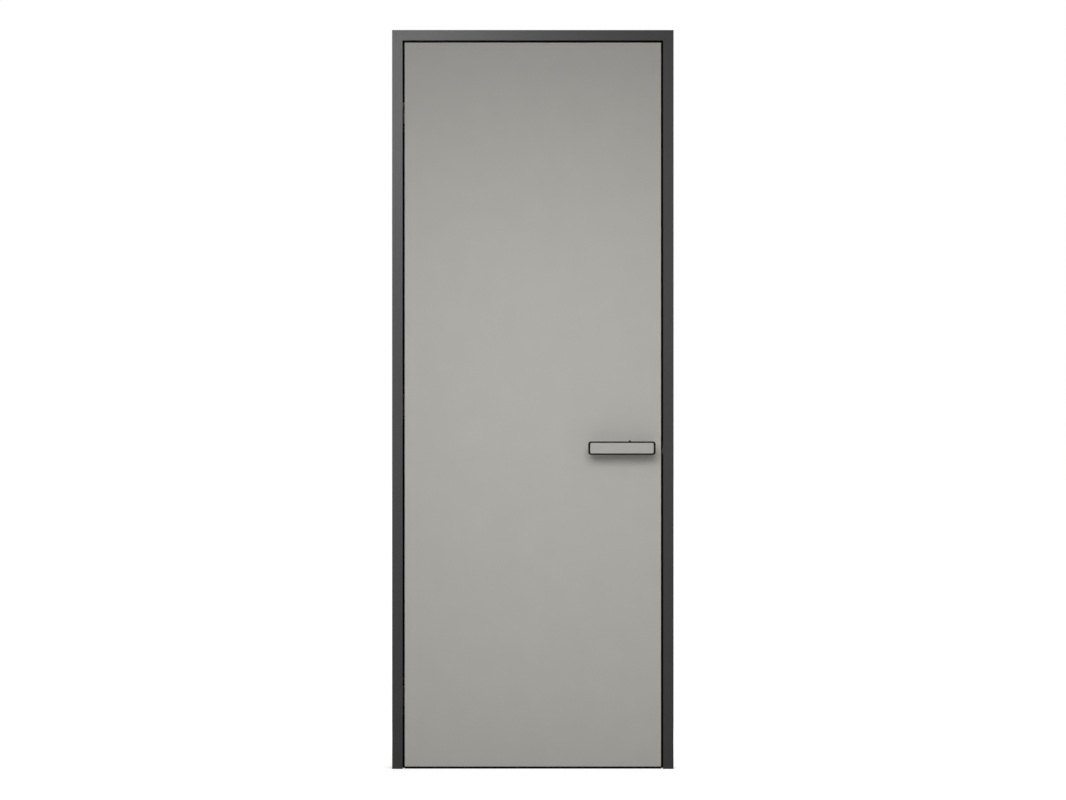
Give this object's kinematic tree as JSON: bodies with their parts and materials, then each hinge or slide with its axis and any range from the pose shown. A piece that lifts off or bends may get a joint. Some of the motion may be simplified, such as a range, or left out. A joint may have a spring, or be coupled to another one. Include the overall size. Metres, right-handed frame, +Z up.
{
  "type": "flush door",
  "caption": "Flush interior door set: plain grey leaf level with a narrow dark metal frame, concealed hinges, black edging and plate-like lever handles.",
  "frame": {"origin": "on the wall side of the hinge lining, at floor level, halfway through the wall", "axes": "+X across the doorway from the hinge jamb to the lock jamb, +Y from the flush face through the wall to the back, +Z up"},
  "size_m": [0.8, 0.166, 2.1],
  "materials": {
    "frame_metal": "dark grey satin powder coat on extruded aluminium",
    "leaf_face": "matt warm grey laminate on fibreboard",
    "timber": "planed softwood",
    "edge_metal": "black anodised",
    "seal_rubber": "matt black",
    "hinge_metal": "satin plated casting",
    "lock_steel": "satin stainless",
    "lever_metal": "matt black powder coat",
    "lever_face": "matt warm grey laminate"
  },
  "bodies": {
    "frame": {"hinge_jamb": "frame_metal", "lock_jamb": "frame_metal", "head_jamb": "frame_metal", "hinge_lining": "frame_metal", "lock_lining": "frame_metal", "head_lining": "frame_metal", "hinge_back_casing": "frame_metal", "lock_back_casing": "frame_metal", "head_back_casing": "frame_metal", "hinge_seal": "seal_rubber", "lock_seal": "seal_rubber", "head_seal": "seal_rubber", "strike_plate": "lock_steel", "top_hinge_frame_cup": "hinge_metal", "middle_hinge_frame_cup": "hinge_metal", "bottom_hinge_frame_cup": "hinge_metal"},
    "leaf": {"front_skin": "leaf_face", "back_skin": "leaf_face", "timber_frame": "timber", "hinge_edge": "edge_metal", "lock_edge": "edge_metal", "top_edge": "edge_metal", "bottom_edge": "edge_metal", "bottom_seal": "seal_rubber", "lock_forend": "lock_steel", "latch_bolt": "lock_steel", "front_rose": "lever_metal", "back_rose": "lever_metal", "top_hinge_leaf_cup": "hinge_metal", "middle_hinge_leaf_cup": "hinge_metal", "bottom_hinge_leaf_cup": "hinge_metal"},
    "lever": {"front_lever": "lever_metal", "back_lever": "lever_metal", "front_inlay": "lever_face", "back_inlay": "lever_face", "spindle": "lock_steel", "privacy_button": "lever_metal"},
    "hinge_forks": {"top_hinge_fork": "hinge_metal", "middle_hinge_fork": "hinge_metal", "bottom_hinge_fork": "hinge_metal"},
    "hinge_tongues": {"top_hinge_tongue": "hinge_metal", "middle_hinge_tongue": "hinge_metal", "bottom_hinge_tongue": "hinge_metal"}
  },
  "joints": [
    {"name": "leaf_swing", "type": "hinge", "parent": "frame", "child": "leaf", "pos_m": [0.0245, -0.0605, 1.035], "axis": [0, 0, -1], "range_deg": [0, 110]},
    {"name": "lever_turn", "type": "hinge", "parent": "leaf", "child": "lever", "pos_m": [0.707, -0.0355, 0.912], "axis": [0, -1, 0], "range_deg": [0, 40], "stiffness_Nm_per_rad": 1, "springref_deg": -34.38},
    {"name": "fork_swing", "type": "hinge", "parent": "frame", "child": "hinge_forks", "pos_m": [0.01948, -0.043, 1.035], "axis": [0, 0, -1], "range_deg": [0, 110]},
    {"name": "tongue_swing", "type": "hinge", "parent": "leaf", "child": "hinge_tongues", "pos_m": [0.02952, -0.043, 1.035], "axis": [0, 0, 1], "range_deg": [0, 110]}
  ],
  "couplings": [
    {"joint": "fork_swing", "follows": "leaf_swing", "ratio": 1},
    {"joint": "tongue_swing", "follows": "leaf_swing", "ratio": 1}
  ]
}
